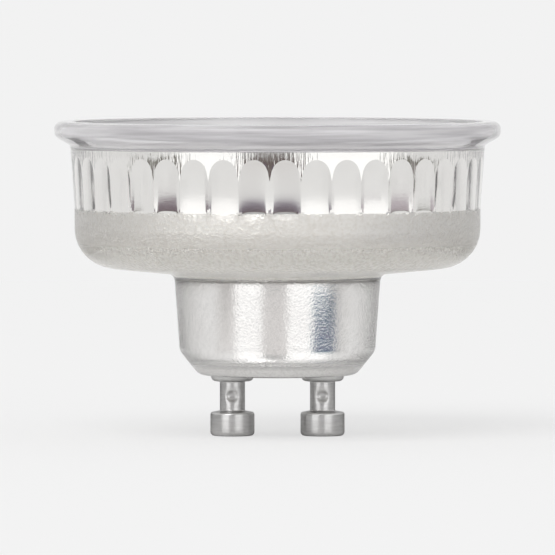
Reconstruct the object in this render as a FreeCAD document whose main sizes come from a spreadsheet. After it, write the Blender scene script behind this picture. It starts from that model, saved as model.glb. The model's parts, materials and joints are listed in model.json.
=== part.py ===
import FreeCAD, Part
import math
import os
import Sketcher

# A mains-voltage spotlight bulb with a pressed-glass reflector body and two twist-lock pins.
# Z is up and is the lamp axis; zero is the plane of the pin tips, midway between the pins.

# Driving dimensions in millimetres. Every other size and place is worked out from these.
SIZES = {
    # contact pins
    "pin_spacing": 10.0,
    "head_radius": 2.45,
    "head_height": 2.8,
    "head_edge": 0.3,
    "head_slope": 0.2,
    "shank_radius": 1.4,
    "shank_length": 3.25,
    "collar_radius": 2.4,
    "collar_height": 0.7,
    "collar_draft": 0.1,
    "collar_round": 0.55,
    "stem_radius": 1.6,
    "stem_clearance": 0.05,
    "flare_radius": 2.2,
    "flare_thickness": 0.35,
    "pin_bore": 0.6,
    "bore_floor": 2.6,
    "crimp_radius": 0.92,
    "crimp_depth": 0.3,
    "washer_radius": 2.6,
    "washer_thickness": 0.5,
    # glass body
    "base_wall": 1.7,
    "base_margin": 1.3,
    "foot_bevel": 2.7,
    "foot_round": 1.4,
    "foot_wall": 2.05,
    "neck_wall": 2.65,
    "neck_fillet": 0.9,
    "neck_edge": 0.6,
    "heel_round": 0.6,
    "wire_margin": 1.05,
    "under_board": 2.8,
    "driver_room": 7.95,
    "floor_wall": 2.25,
    "floor_rise": 1.1,
    "bowl_radius": 22.5,
    "bowl_corner": 4.4,
    "bowl_depth": 12.75,
    "glass_wall": 1.3,
    "cavity_corner": 2.8,
    "frost_height": 5.05,
    "wall_taper": 0.5,
    "shoulder_fillet": 0.45,
    "rim_overhang": 1.75,
    "rim_band": 1.65,
    "rim_flare": 1.0,
    "rim_round": 0.85,
    # flutes pressed into the inner wall
    "flute_count": 40,
    "flute_radius": 36.0,
    "flute_depth": 0.17,
    "flute_overcut": 0.1,
    "flute_top_gap": 1.8,
    "flute_phase": 2.3,
    # front cover
    "seat_width": 1.6,
    "cover_thickness": 1.1,
    "cover_edge": 0.25,
    "cover_inset": 0.85,
    "sealant_gap": 0.3,
    "sealant_height": 0.8,
    # heat spreader and light source
    "adhesive_thickness": 0.25,
    "adhesive_margin": 0.5,
    "spreader_thickness": 1.5,
    "spreader_margin": 0.6,
    "skirt_drop": 1.1,
    "skirt_wall": 0.9,
    "skirt_clearance": 0.3,
    "pad_thickness": 0.3,
    "pad_margin": 0.4,
    "led_board_thickness": 1.2,
    "board_rim": 0.8,
    "emitter_radius": 4.2,
    "phosphor_height": 0.5,
    "phosphor_crown": 0.1,
    "dam_width": 0.7,
    "dam_height": 0.65,
    "screw_gap": 0.4,
    "screw_radius": 0.95,
    "screw_clearance": 0.1,
    "screw_head_radius": 1.8,
    "screw_head_height": 1.2,
    "screw_recess_depth": 0.6,
    "screw_recess_arm": 1.0,
    "screw_recess_width": 0.4,
    "screw_end_gap": 0.2,
    # wires and solder
    "lead_radius": 0.4,
    "lead_clearance": 0.1,
    "lead_end_gap": 0.3,
    "solder_radius": 0.8,
    "solder_tip": 0.35,
    "solder_height": 0.7,
    "solder_round": 0.2,
    # driver board and its components
    "driver_board_thickness": 1.0,
    "driver_board_clearance": 0.2,
    "part_gap": 0.35,
    "can_radius": 2.4,
    "can_length": 8.6,
    "can_edge": 0.4,
    "leg_radius": 0.25,
    "leg_reach": 0.9,
    "leg_bend": 0.45,
    "drum_radius": 2.3,
    "drum_core": 1.1,
    "drum_height": 5.0,
    "drum_flange": 0.8,
    "winding_wall": 0.9,
    "rectifier_length": 4.4,
    "rectifier_width": 3.6,
    "rectifier_height": 2.3,
    "chip_length": 4.9,
    "chip_width": 3.6,
    "chip_height": 1.4,
    "tab_reach": 0.45,
    "tab_width": 0.5,
    "tab_thickness": 0.25,
    "fuse_radius": 0.9,
    "fuse_length": 4.0,
    "fuse_edge": 0.3,
    "fuse_stand": 0.5,
    "fuse_loop": 1.35,
    "fuse_loop_height": 0.8,
}

doc = FreeCAD.newDocument("spotlight_bulb")
sheet = doc.addObject("Spreadsheet::Sheet", "Sizes")
for row, (alias, size) in enumerate(SIZES.items(), start=1):
    sheet.set("A%d" % row, alias)
    sheet.set("B%d" % row, str(size))
    sheet.setAlias("B%d" % row, alias)
doc.recompute()

# Heights above the pin tips, from the bottom up.
BASE_FACE = "(Sizes.head_height + Sizes.shank_length + Sizes.collar_height)"
INNER_BASE = "(%s + Sizes.base_wall)" % BASE_FACE
BOARD_FOOT = "(%s + Sizes.under_board)" % INNER_BASE
BOARD_TOP = "(%s + Sizes.driver_board_thickness)" % BOARD_FOOT
FLOOR = "(%s + Sizes.driver_room)" % BOARD_TOP
SPREADER = "(%s + Sizes.adhesive_thickness)" % FLOOR
SPREADER_TOP = "(%s + Sizes.spreader_thickness)" % SPREADER
LED_BOARD = "(%s + Sizes.pad_thickness)" % SPREADER_TOP
LED_TOP = "(%s + Sizes.led_board_thickness)" % LED_BOARD
FROST_LINE = "(%s + Sizes.frost_height)" % FLOOR
SEAT = "(%s + Sizes.bowl_depth)" % FLOOR
RIM_TOP = "(%s + Sizes.cover_thickness + Sizes.cover_inset)" % SEAT
RIM_BASE = "(%s - Sizes.rim_band)" % RIM_TOP
FLARE_BASE = "(%s - Sizes.rim_flare)" % RIM_BASE

# Radii about the lamp axis, from the inside out.
PIN_OFFSET = "(Sizes.pin_spacing / 2)"
BASE_RADIUS = "(%s + Sizes.collar_radius + Sizes.base_margin)" % PIN_OFFSET
WIRE_OFFSET = "(%s + 2 * Sizes.solder_radius + Sizes.part_gap)" % PIN_OFFSET
NECK_BORE = "(%s + Sizes.solder_radius + Sizes.wire_margin)" % WIRE_OFFSET
FOOT_RADIUS = "(%s + Sizes.foot_wall)" % NECK_BORE
NECK_RADIUS = "(%s + Sizes.neck_wall)" % NECK_BORE
CAVITY_RADIUS = "(Sizes.bowl_radius - Sizes.glass_wall)"
REBATE_RADIUS = "(%s + Sizes.seat_width)" % CAVITY_RADIUS
COVER_RADIUS = "(%s - Sizes.sealant_gap)" % REBATE_RADIUS
SHOULDER_RADIUS = "(Sizes.bowl_radius + Sizes.wall_taper)"
RIM_RADIUS = "(%s + Sizes.rim_overhang)" % SHOULDER_RADIUS
SPREADER_RADIUS = "(%s - Sizes.cavity_corner - Sizes.spreader_margin)" % CAVITY_RADIUS
SKIRT_OUTER = "(%s - Sizes.skirt_clearance)" % NECK_BORE
SKIRT_INNER = "(%s - Sizes.skirt_wall)" % SKIRT_OUTER
DAM_RADIUS = "(Sizes.emitter_radius + Sizes.dam_width)"
SCREW_OFFSET = "(%s + Sizes.solder_radius + Sizes.screw_gap + Sizes.screw_head_radius)" % WIRE_OFFSET
LED_BOARD_RADIUS = "(%s + Sizes.screw_head_radius + Sizes.board_rim)" % SCREW_OFFSET
DRIVER_BOARD_RADIUS = "(%s - Sizes.driver_board_clearance)" % NECK_BORE
LEAD_HOLE = "(Sizes.lead_radius + Sizes.lead_clearance)"


def number(expression):
    return float(sheet.evalExpression(expression))


def origin_plane(body, role):
    return [item for item in body.Origin.OriginFeatures if item.Role == role][0]


def new_body(label):
    body = doc.addObject("PartDesign::Body", label)
    body.Label = label
    return body


def place(item, x="0", y="0", z="0"):
    for axis, expression in (("x", x), ("y", y), ("z", z)):
        if expression != "0":
            item.setExpression("Placement.Base." + axis, expression)


def new_sketch(body, name, role):
    sketch = body.newObject("Sketcher::SketchObject", name)
    sketch.AttachmentSupport = [(origin_plane(body, role), "")]
    sketch.MapMode = "FlatFace"
    return sketch


# Pins a sketch point to the two coordinates, by the axes themselves where one is zero.
def pin_point(sketch, geometry, point, x, y):
    for kind, expression, axis in (("DistanceX", x, -2), ("DistanceY", y, -1)):
        if expression == "0":
            sketch.addConstraint(Sketcher.Constraint("PointOnObject", geometry, point, axis))
        else:
            size = number(expression)
            index = sketch.addConstraint(Sketcher.Constraint(kind, -1, 1, geometry, point, size))
            sketch.setExpression("Constraints[%d]" % index, expression)


# Draws straight runs through the corners (x, y) or (x, y, round), each rounded corner as a
# tangent arc whose sharp corner is kept as a construction point.
def draw_outline(sketch, corners, closed=True):
    spots = [FreeCAD.Vector(number(c[0]), number(c[1]), 0) for c in corners]
    rounds = [number(c[2]) if len(c) > 2 else 0.0 for c in corners]
    count = len(corners)
    starts = list(spots)
    ends = list(spots)
    arcs = {}
    for i in range(count):
        if rounds[i] == 0.0:
            continue
        back = (spots[i - 1] - spots[i]).normalize()
        ahead = (spots[(i + 1) % count] - spots[i]).normalize()
        half = math.acos(max(-1.0, min(1.0, back.dot(ahead)))) / 2
        reach = rounds[i] / math.tan(half)
        ends[i] = spots[i] + back * reach
        starts[i] = spots[i] + ahead * reach
        middle = (back + ahead).normalize() * (rounds[i] / math.sin(half))
        arcs[i] = (spots[i] + middle, back.cross(ahead).z < 0)
    lines = {}
    for i in range(count if closed else count - 1):
        lines[i] = sketch.addGeometry(Part.LineSegment(starts[i], ends[(i + 1) % count]), False)
    for i in range(count):
        before = lines.get((i - 1) % count if closed else i - 1)
        after = lines.get(i)
        if i in arcs:
            centre, left_turn = arcs[i]
            first, last = (ends[i], starts[i]) if left_turn else (starts[i], ends[i])
            begin = math.atan2(first.y - centre.y, first.x - centre.x)
            finish = math.atan2(last.y - centre.y, last.x - centre.x)
            circle = Part.Circle(centre, FreeCAD.Vector(0, 0, 1), rounds[i])
            arc = sketch.addGeometry(Part.ArcOfCircle(circle, begin, finish), False)
            tip = sketch.addGeometry(Part.Point(spots[i]), True)
            in_end, out_end = (1, 2) if left_turn else (2, 1)
            pin_point(sketch, tip, 1, corners[i][0], corners[i][1])
            sketch.addConstraint(Sketcher.Constraint("PointOnObject", tip, 1, before))
            sketch.addConstraint(Sketcher.Constraint("PointOnObject", tip, 1, after))
            sketch.addConstraint(Sketcher.Constraint("Tangent", before, 2, arc, in_end))
            sketch.addConstraint(Sketcher.Constraint("Tangent", arc, out_end, after, 1))
            index = sketch.addConstraint(Sketcher.Constraint("Radius", arc, rounds[i]))
            sketch.setExpression("Constraints[%d]" % index, corners[i][2])
        elif before is not None and after is not None:
            sketch.addConstraint(Sketcher.Constraint("Coincident", before, 2, after, 1))
            pin_point(sketch, after, 1, corners[i][0], corners[i][1])
        elif after is not None:
            pin_point(sketch, after, 1, corners[i][0], corners[i][1])
        else:
            pin_point(sketch, before, 2, corners[i][0], corners[i][1])


def draw_circle(sketch, x, y, radius):
    centre = FreeCAD.Vector(number(x), number(y), 0)
    size = number(radius)
    circle = sketch.addGeometry(Part.Circle(centre, FreeCAD.Vector(0, 0, 1), size), False)
    pin_point(sketch, circle, 3, x, y)
    index = sketch.addConstraint(Sketcher.Constraint("Radius", circle, size))
    sketch.setExpression("Constraints[%d]" % index, radius)


def draw_rectangle(sketch, x_low, x_high, y_low, y_high):
    draw_outline(sketch, [(x_low, y_low), (x_high, y_low), (x_high, y_high), (x_low, y_high)])


# A body turned about its own Z axis from corners given as (radius, height).
def turned(label, corners):
    body = new_body(label)
    sketch = new_sketch(body, label + "_profile", "XZ_Plane")
    draw_outline(sketch, corners)
    turn = body.newObject("PartDesign::Revolution", label + "_turn")
    turn.Profile = sketch
    turn.ReferenceAxis = (sketch, ["V_Axis"])
    turn.Angle = 360
    return body


# A flat disc with round holes given as (x, y, radius), standing on its own XY plane.
def drilled_disc(label, radius, thickness, holes):
    body = new_body(label)
    sketch = new_sketch(body, label + "_plan", "XY_Plane")
    draw_circle(sketch, "0", "0", radius)
    for hole in holes:
        draw_circle(sketch, *hole)
    pad = body.newObject("PartDesign::Pad", label + "_pad")
    pad.Profile = sketch
    pad.setExpression("Length", thickness)
    return body


# Holes cut right through a body along Z.
def drill(body, name, holes):
    sketch = new_sketch(body, name + "_plan", "XY_Plane")
    for hole in holes:
        draw_circle(sketch, *hole)
    cut = body.newObject("PartDesign::Pocket", name)
    cut.Profile = sketch
    cut.Type = "ThroughAll"
    cut.SideType = "Symmetric"


def pad_up(body, name, sketch, length):
    pad = body.newObject("PartDesign::Pad", name)
    pad.Profile = sketch
    pad.setExpression("Length", length)
    return pad


# A round wire that follows a path drawn in the body's XZ plane and starts straight up or down.
def add_wire(body, name, path, radius):
    spine = new_sketch(body, name + "_path", "XZ_Plane")
    draw_outline(spine, path, closed=False)
    ring = new_sketch(body, name + "_ring", "XY_Plane")
    ring.setExpression("AttachmentOffset.Base.z", path[0][1])
    draw_circle(ring, path[0][0], "0", radius)
    pipe = body.newObject("PartDesign::AdditivePipe", name)
    pipe.Profile = ring
    pipe.Spine = (spine, ["Edge%d" % (i + 1) for i in range(len(path) * 2 - 3)])


pieces = []


def keep(item):
    pieces.append(item)
    return item


def group(label, members):
    bundle = doc.addObject("Part::Compound", label)
    bundle.Label = label
    bundle.Links = members
    return keep(bundle)


# Glass body: the outside is turned, drilled for the pins, and hollowed by a fluted plunger.
outside = turned("glass_outside", [
    ("0", BASE_FACE),
    (BASE_RADIUS, BASE_FACE, "Sizes.foot_round"),
    (FOOT_RADIUS, "%s + Sizes.foot_bevel" % BASE_FACE, "Sizes.foot_round"),
    (NECK_RADIUS, "%s - Sizes.floor_wall" % FLOOR, "Sizes.neck_fillet"),
    ("Sizes.bowl_radius", "%s - Sizes.floor_wall + Sizes.floor_rise" % FLOOR, "Sizes.bowl_corner"),
    ("Sizes.bowl_radius", FROST_LINE),
    (SHOULDER_RADIUS, FLARE_BASE, "Sizes.shoulder_fillet"),
    (RIM_RADIUS, RIM_BASE, "Sizes.rim_round"),
    (RIM_RADIUS, RIM_TOP, "Sizes.rim_round"),
    ("0", RIM_TOP),
])
stem_hole = "Sizes.stem_radius + Sizes.stem_clearance"
hole_plan = new_sketch(outside, "pin_hole_plan", "XY_Plane")
for side in ("", "-"):
    draw_circle(hole_plan, side + PIN_OFFSET, "0", stem_hole)
pin_holes = outside.newObject("PartDesign::Pocket", "pin_holes")
pin_holes.Profile = hole_plan
pin_holes.Reversed = True
pin_holes.setExpression("Length", "%s + Sizes.washer_thickness" % INNER_BASE)

plunger = turned("glass_plunger", [
    ("0", INNER_BASE),
    (NECK_BORE, INNER_BASE, "Sizes.heel_round"),
    (NECK_BORE, FLOOR, "Sizes.neck_edge"),
    (CAVITY_RADIUS, FLOOR, "Sizes.cavity_corner"),
    (CAVITY_RADIUS, SEAT),
    (REBATE_RADIUS, SEAT),
    (REBATE_RADIUS, "%s + Sizes.cover_thickness" % RIM_TOP),
    ("0", "%s + Sizes.cover_thickness" % RIM_TOP),
])

# Each flute is a shallow round-nosed cut up the plunger: straight to the frosted line, then
# along an arc that leaves the wall at the top of the arch.
flute_rise = "(Sizes.bowl_depth - Sizes.frost_height - Sizes.flute_top_gap)"
flute_sweep = "((%s ^ 2 + Sizes.flute_depth ^ 2) / (2 * Sizes.flute_depth))" % flute_rise
flute_axis = "(%s - Sizes.flute_depth + %s)" % (CAVITY_RADIUS, flute_sweep)
flute_back = "(%s - Sizes.flute_depth - Sizes.flute_overcut)" % flute_sweep
flute_plan = new_sketch(plunger, "flute_plan", "XY_Plane")
flute_plan.setExpression("AttachmentOffset.Base.x", flute_axis)
flute_plan.setExpression("AttachmentOffset.Base.z", FROST_LINE)
nose = number("Sizes.flute_radius")
nose_centre = -number("%s - Sizes.flute_radius" % flute_sweep)
back = -number(flute_back)
half_angle = math.acos((nose_centre - back) / nose)
nose_circle = Part.Circle(FreeCAD.Vector(nose_centre, 0, 0), FreeCAD.Vector(0, 0, 1), nose)
arc = flute_plan.addGeometry(
    Part.ArcOfCircle(nose_circle, math.pi - half_angle, math.pi + half_angle), False)
half_chord = nose * math.sin(half_angle)
chord = flute_plan.addGeometry(Part.LineSegment(
    FreeCAD.Vector(back, -half_chord, 0), FreeCAD.Vector(back, half_chord, 0)), False)
flute_plan.addConstraint(Sketcher.Constraint("Coincident", arc, 2, chord, 1))
flute_plan.addConstraint(Sketcher.Constraint("Coincident", arc, 1, chord, 2))
flute_plan.addConstraint(Sketcher.Constraint("Vertical", chord))
pin_point(flute_plan, arc, 3, "-(%s - Sizes.flute_radius)" % flute_sweep, "0")
index = flute_plan.addConstraint(Sketcher.Constraint("Radius", arc, nose))
flute_plan.setExpression("Constraints[%d]" % index, "Sizes.flute_radius")
index = flute_plan.addConstraint(Sketcher.Constraint("DistanceX", -1, 1, chord, 1, back))
flute_plan.setExpression("Constraints[%d]" % index, "-" + flute_back)

flute_arch = plunger.newObject("PartDesign::Groove", "flute_arch")
flute_arch.Profile = flute_plan
flute_arch.ReferenceAxis = (flute_plan, ["V_Axis"])
flute_arch.setExpression(
    "Angle", "asin((%s + Sizes.flute_top_gap / 2) / %s)" % (flute_rise, flute_sweep))
flute_run = plunger.newObject("PartDesign::Pocket", "flute_run")
flute_run.Profile = flute_plan
flute_run.setExpression("Length", "Sizes.frost_height + Sizes.glass_wall")
plunger.Tip = flute_run
doc.recompute()
flutes = plunger.newObject("PartDesign::PolarPattern", "flutes")
flutes.Originals = [flute_arch, flute_run]
flutes.Axis = (origin_plane(plunger, "Z_Axis"), [""])
flutes.Angle = 360
flutes.setExpression("Occurrences", "Sizes.flute_count")
plunger.Tip = flutes
plunger.Placement.Rotation = FreeCAD.Rotation(FreeCAD.Vector(0, 0, 1), -90)
plunger.setExpression("Placement.Rotation.Angle", "-90 + Sizes.flute_phase")

glass_body = keep(doc.addObject("Part::Cut", "glass_body"))
glass_body.Label = "glass_body"
glass_body.Base = outside
glass_body.Tool = plunger

# Front cover disc and the bead of sealant round its edge.
front_glass = keep(turned("front_glass", [
    ("0", "0"),
    (COVER_RADIUS, "0", "Sizes.cover_edge"),
    (COVER_RADIUS, "Sizes.cover_thickness", "Sizes.cover_edge"),
    ("0", "Sizes.cover_thickness"),
]))
place(front_glass, z=SEAT)
cover_sealant = keep(turned("cover_sealant", [
    (COVER_RADIUS, "0"),
    (REBATE_RADIUS, "0"),
    (REBATE_RADIUS, "Sizes.sealant_height"),
    (COVER_RADIUS, "Sizes.sealant_height"),
]))
place(cover_sealant, z=SEAT)

# Contact pins: head, crimped shank, collar, and a stem riveted over inside the base.
for name, side in (("left", "-"), ("right", "")):
    head_back = "Sizes.head_height"
    collar_foot = "Sizes.head_height + Sizes.shank_length"
    flare_foot = "%s + Sizes.washer_thickness" % INNER_BASE
    flare_top = "%s + Sizes.flare_thickness" % flare_foot
    pin = keep(turned("contact_pin_" + name, [
        ("0", "0"),
        ("Sizes.head_radius", "0", "Sizes.head_edge"),
        ("Sizes.head_radius", head_back + " - Sizes.head_slope", "Sizes.head_edge"),
        ("Sizes.shank_radius", head_back),
        ("Sizes.shank_radius", collar_foot),
        ("Sizes.collar_radius - Sizes.collar_draft", collar_foot, "Sizes.collar_round"),
        ("Sizes.collar_radius", BASE_FACE),
        ("Sizes.stem_radius", BASE_FACE),
        ("Sizes.stem_radius", flare_foot),
        ("Sizes.flare_radius", flare_foot),
        ("Sizes.flare_radius", flare_top),
        ("Sizes.pin_bore", flare_top),
        ("Sizes.pin_bore", "Sizes.bore_floor"),
        ("0", "Sizes.bore_floor"),
    ]))
    crimp = pin.newObject("PartDesign::SubtractiveSphere", "crimp_" + name)
    crimp.setExpression("Radius", "Sizes.crimp_radius")
    crimp.setExpression("Placement.Base.y",
                        "-(Sizes.shank_radius - Sizes.crimp_depth + Sizes.crimp_radius)")
    crimp.setExpression("Placement.Base.z", "Sizes.head_height + Sizes.shank_length / 2")
    place(pin, x=side + PIN_OFFSET)
    washer = keep(drilled_disc("pin_washer_" + name, "Sizes.washer_radius",
                               "Sizes.washer_thickness", [("0", "0", stem_hole)]))
    place(washer, x=side + PIN_OFFSET, z=INNER_BASE)
    input_lead = keep(drilled_disc("input_lead_" + name, "Sizes.lead_radius",
                                   "%s - Sizes.bore_floor - Sizes.lead_end_gap" % BOARD_TOP, []))
    place(input_lead, x=side + PIN_OFFSET, z="Sizes.bore_floor + Sizes.lead_end_gap")

# Heat spreader, its adhesive ring and the thermal pad under the light-source board.
screw_holes = [(side + SCREW_OFFSET, "0", "Sizes.screw_radius + Sizes.screw_clearance")
               for side in ("", "-")]
wire_holes = [(side + WIRE_OFFSET, "0", LEAD_HOLE) for side in ("", "-")]
spreader_adhesive = keep(drilled_disc(
    "spreader_adhesive", "%s - Sizes.adhesive_margin" % SPREADER_RADIUS,
    "Sizes.adhesive_thickness",
    [("0", "0", "%s + Sizes.neck_edge + Sizes.adhesive_margin" % NECK_BORE)]))
place(spreader_adhesive, z=FLOOR)
heat_spreader = keep(turned("heat_spreader", [
    ("0", "0"),
    (SKIRT_INNER, "0"),
    (SKIRT_INNER, "-Sizes.skirt_drop"),
    (SKIRT_OUTER, "-Sizes.skirt_drop"),
    (SKIRT_OUTER, "0"),
    (SPREADER_RADIUS, "0"),
    (SPREADER_RADIUS, "Sizes.spreader_thickness"),
    ("0", "Sizes.spreader_thickness"),
]))
drill(heat_spreader, "spreader_holes", screw_holes + wire_holes)
place(heat_spreader, z=SPREADER)
thermal_pad = keep(drilled_disc("thermal_pad", "%s - Sizes.pad_margin" % LED_BOARD_RADIUS,
                                "Sizes.pad_thickness", screw_holes + wire_holes))
place(thermal_pad, z=SPREADER_TOP)

# Light-source board with its round emitter inside a dam.
led_board = keep(drilled_disc("led_board", LED_BOARD_RADIUS, "Sizes.led_board_thickness",
                              screw_holes + wire_holes))
place(led_board, z=LED_BOARD)
led_dam_ring = keep(turned("led_dam_ring", [
    ("Sizes.emitter_radius", "0"),
    (DAM_RADIUS, "0"),
    (DAM_RADIUS, "Sizes.dam_height", "Sizes.dam_width / 3"),
    ("Sizes.emitter_radius", "Sizes.dam_height", "Sizes.dam_width / 3"),
]))
place(led_dam_ring, z=LED_TOP)
led_phosphor = keep(turned("led_phosphor", [
    ("0", "0"),
    ("Sizes.emitter_radius", "0"),
    ("Sizes.emitter_radius", "Sizes.phosphor_height * 0.8"),
    ("0", "Sizes.phosphor_height * 0.8 + Sizes.phosphor_crown"),
]))
place(led_phosphor, z=LED_TOP)

# Pan-head screws with a cross recess, holding the board down on the spreader.
arm = "Sizes.screw_recess_arm"
half = "Sizes.screw_recess_width / 2"
cross = [(arm, "-" + half), (arm, half), (half, half), (half, arm), ("-" + half, arm),
         ("-" + half, half), ("-" + arm, half), ("-" + arm, "-" + half), ("-" + half, "-" + half),
         ("-" + half, "-" + arm), (half, "-" + arm), (half, "-" + half)]
screw_length = "(Sizes.spreader_thickness + Sizes.pad_thickness + Sizes.led_board_thickness" \
               " - Sizes.screw_end_gap)"
screws = []
for name, side in (("a", "-"), ("b", "")):
    screw = turned("board_screw_" + name, [
        ("0", "-" + screw_length),
        ("Sizes.screw_radius", "-" + screw_length),
        ("Sizes.screw_radius", "0"),
        ("Sizes.screw_head_radius", "0"),
        ("Sizes.screw_head_radius", "Sizes.screw_head_height", "Sizes.screw_head_height / 2"),
        ("0", "Sizes.screw_head_height"),
    ])
    recess_plan = new_sketch(screw, "recess_plan_" + name, "XY_Plane")
    recess_plan.setExpression("AttachmentOffset.Base.z", "Sizes.screw_head_height")
    draw_outline(recess_plan, cross)
    recess = screw.newObject("PartDesign::Pocket", "recess_" + name)
    recess.Profile = recess_plan
    recess.setExpression("Length", "Sizes.screw_recess_depth")
    place(screw, x=side + SCREW_OFFSET, z=LED_TOP)
    screws.append(screw)
group("board_screws", screws)


def solder_joint(label):
    return turned(label, [
        ("0", "0"),
        ("Sizes.solder_radius", "0"),
        ("Sizes.solder_tip", "Sizes.solder_height", "Sizes.solder_round"),
        ("0", "Sizes.solder_height"),
    ])


# Wires from the driver board up to the light source, and the solder at both ends.
joints_up = []
joints_down = []
for name, side in (("positive", "-"), ("negative", "")):
    led_lead = keep(drilled_disc("led_lead_" + name, "Sizes.lead_radius",
                                 "%s - %s" % (LED_TOP, BOARD_FOOT), []))
    place(led_lead, x=side + WIRE_OFFSET, z=BOARD_FOOT)
    joint = solder_joint("led_joint_" + name)
    place(joint, x=side + WIRE_OFFSET, z=LED_TOP)
    joints_up.append(joint)
    under = solder_joint("wire_joint_" + name)
    under.Placement.Rotation = FreeCAD.Rotation(FreeCAD.Vector(1, 0, 0), 180)
    place(under, x=side + WIRE_OFFSET, z=BOARD_FOOT)
    joints_down.append(under)
for name, side in (("left", "-"), ("right", "")):
    joint = solder_joint("input_joint_" + name)
    place(joint, x=side + PIN_OFFSET, z=BOARD_TOP)
    joints_down.append(joint)
group("led_solder_joints", joints_up)
group("driver_solder_joints", joints_down)

# Driver board in the neck, carried by the input leads and bored for the wires.
driver_board = keep(drilled_disc(
    "driver_board", DRIVER_BOARD_RADIUS, "Sizes.driver_board_thickness",
    [(side + PIN_OFFSET, "0", LEAD_HOLE) for side in ("", "-")] + wire_holes))
place(driver_board, z=BOARD_FOOT)

# Bulk capacitor lying on the board with both legs bent down to it.
clear = "(Sizes.solder_radius + Sizes.part_gap)"
bulk_capacitor = keep(new_body("bulk_capacitor"))
can_plan = new_sketch(bulk_capacitor, "can_plan", "XY_Plane")
draw_outline(can_plan, [
    ("-Sizes.can_length / 2", "0"),
    ("Sizes.can_length / 2", "0"),
    ("Sizes.can_length / 2", "Sizes.can_radius", "Sizes.can_edge"),
    ("-Sizes.can_length / 2", "Sizes.can_radius", "Sizes.can_edge"),
])
can = bulk_capacitor.newObject("PartDesign::Revolution", "can")
can.Profile = can_plan
can.ReferenceAxis = (can_plan, ["H_Axis"])
can.Angle = 360
add_wire(bulk_capacitor, "can_leg", [
    ("Sizes.can_length / 2 + Sizes.leg_reach", "-Sizes.can_radius"),
    ("Sizes.can_length / 2 + Sizes.leg_reach", "0", "Sizes.leg_bend"),
    ("Sizes.can_length / 2 - Sizes.can_edge", "0"),
], "Sizes.leg_radius")
place(bulk_capacitor, x="-Sizes.leg_reach / 2", y="%s + Sizes.can_radius" % clear,
      z="%s + Sizes.can_radius" % BOARD_TOP)

# Choke: a drum core standing on the board with its winding between the flanges.
choke_x = "-(Sizes.drum_radius + Sizes.part_gap)"
choke_y = "-(%s + Sizes.drum_radius)" % clear
choke_core = keep(turned("choke_core", [
    ("0", "0"),
    ("Sizes.drum_radius", "0"),
    ("Sizes.drum_radius", "Sizes.drum_flange"),
    ("Sizes.drum_core", "Sizes.drum_flange"),
    ("Sizes.drum_core", "Sizes.drum_height - Sizes.drum_flange"),
    ("Sizes.drum_radius", "Sizes.drum_height - Sizes.drum_flange"),
    ("Sizes.drum_radius", "Sizes.drum_height"),
    ("0", "Sizes.drum_height"),
]))
place(choke_core, x=choke_x, y=choke_y, z=BOARD_TOP)
choke_winding = keep(drilled_disc(
    "choke_winding", "Sizes.drum_core + Sizes.winding_wall",
    "Sizes.drum_height - 2 * Sizes.drum_flange", [("0", "0", "Sizes.drum_core")]))
place(choke_winding, x=choke_x, y=choke_y, z="%s + Sizes.drum_flange" % BOARD_TOP)


# A moulded package with flat tabs along its two long sides.
def package(label, length, width, height, tabs):
    body = new_body(label)
    plan = new_sketch(body, label + "_plan", "XY_Plane")
    draw_rectangle(plan, "-%s / 2" % length, "%s / 2" % length,
                   "-%s / 2" % width, "%s / 2" % width)
    pad_up(body, label + "_block", plan, height)
    tab_plan = new_sketch(body, label + "_tab_plan", "XY_Plane")
    for tab in range(tabs):
        middle = "(%s * %.3f)" % (length, (tab + 0.5) / tabs - 0.5)
        draw_rectangle(tab_plan, "%s - Sizes.tab_width / 2" % middle,
                       "%s + Sizes.tab_width / 2" % middle,
                       "-%s / 2 - Sizes.tab_reach" % width, "%s / 2 + Sizes.tab_reach" % width)
    pad_up(body, label + "_tabs", tab_plan, "Sizes.tab_thickness")
    return body


bridge_rectifier = keep(package("bridge_rectifier", "Sizes.rectifier_length",
                                "Sizes.rectifier_width", "Sizes.rectifier_height", 2))
rectifier_y = "-(%s + Sizes.tab_reach + Sizes.rectifier_width / 2)" % clear
place(bridge_rectifier, x="Sizes.part_gap + Sizes.rectifier_length / 2", y=rectifier_y, z=BOARD_TOP)
driver_chip = keep(package("driver_chip", "Sizes.chip_length", "Sizes.chip_width",
                           "Sizes.chip_height", 4))
driver_chip.Placement.Rotation = FreeCAD.Rotation(FreeCAD.Vector(1, 0, 0), 180)
place(driver_chip, y="-(%s + Sizes.tab_reach + Sizes.chip_width / 2)" % clear, z=BOARD_FOOT)

# Fusible resistor standing on end, its upper leg looped back down to the board.
fuse_top = "(Sizes.fuse_stand + Sizes.fuse_length)"
fuse_resistor = keep(turned("fuse_resistor", [
    ("0", "0"),
    ("Sizes.leg_radius", "0"),
    ("Sizes.leg_radius", "Sizes.fuse_stand"),
    ("Sizes.fuse_radius", "Sizes.fuse_stand", "Sizes.fuse_edge"),
    ("Sizes.fuse_radius", fuse_top, "Sizes.fuse_edge"),
    ("0", fuse_top),
]))
add_wire(fuse_resistor, "fuse_leg", [
    ("Sizes.fuse_loop", "0"),
    ("Sizes.fuse_loop", "%s + Sizes.fuse_loop_height" % fuse_top, "Sizes.leg_bend"),
    ("0", "%s + Sizes.fuse_loop_height" % fuse_top, "Sizes.leg_bend"),
    ("0", "%s - Sizes.fuse_edge" % fuse_top),
], "Sizes.leg_radius")
fuse_y = "%s - Sizes.rectifier_width / 2 - Sizes.tab_reach - Sizes.part_gap - Sizes.fuse_radius"
place(fuse_resistor, x="Sizes.part_gap", y=fuse_y % rectifier_y, z=BOARD_TOP)

doc.recompute()

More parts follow.
